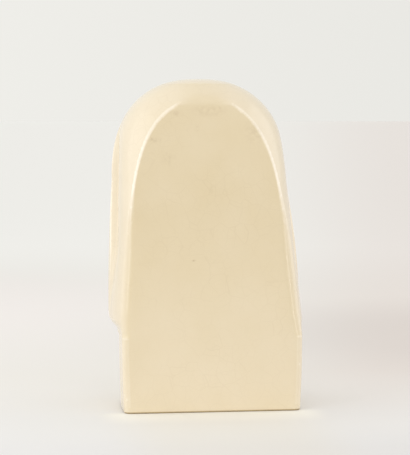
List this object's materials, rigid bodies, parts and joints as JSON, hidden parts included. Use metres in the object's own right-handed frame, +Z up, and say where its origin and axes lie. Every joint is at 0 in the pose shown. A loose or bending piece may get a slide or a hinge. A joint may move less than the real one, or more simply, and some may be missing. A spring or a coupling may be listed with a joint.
{
  "type": "madonna bust",
  "caption": "Veiled madonna bust on a plain D-shaped plinth, with a calm face under a rolled hem and a flat upright back.",
  "frame": {"origin": "on the underside, below the middle of the bust's bounding box; the flat back is at +Y and she faces -Y", "axes": "+Z up from the underside to the crown, +Y out of the flat back, +X towards her left"},
  "size_m": [0.159, 0.121, 0.268],
  "materials": {
    "crackle_glaze": "glossy ivory glaze with a fine crackle net"
  },
  "bodies": {
    "root": {"madonna_bust": "crackle_glaze"}
  },
  "joints": []
}
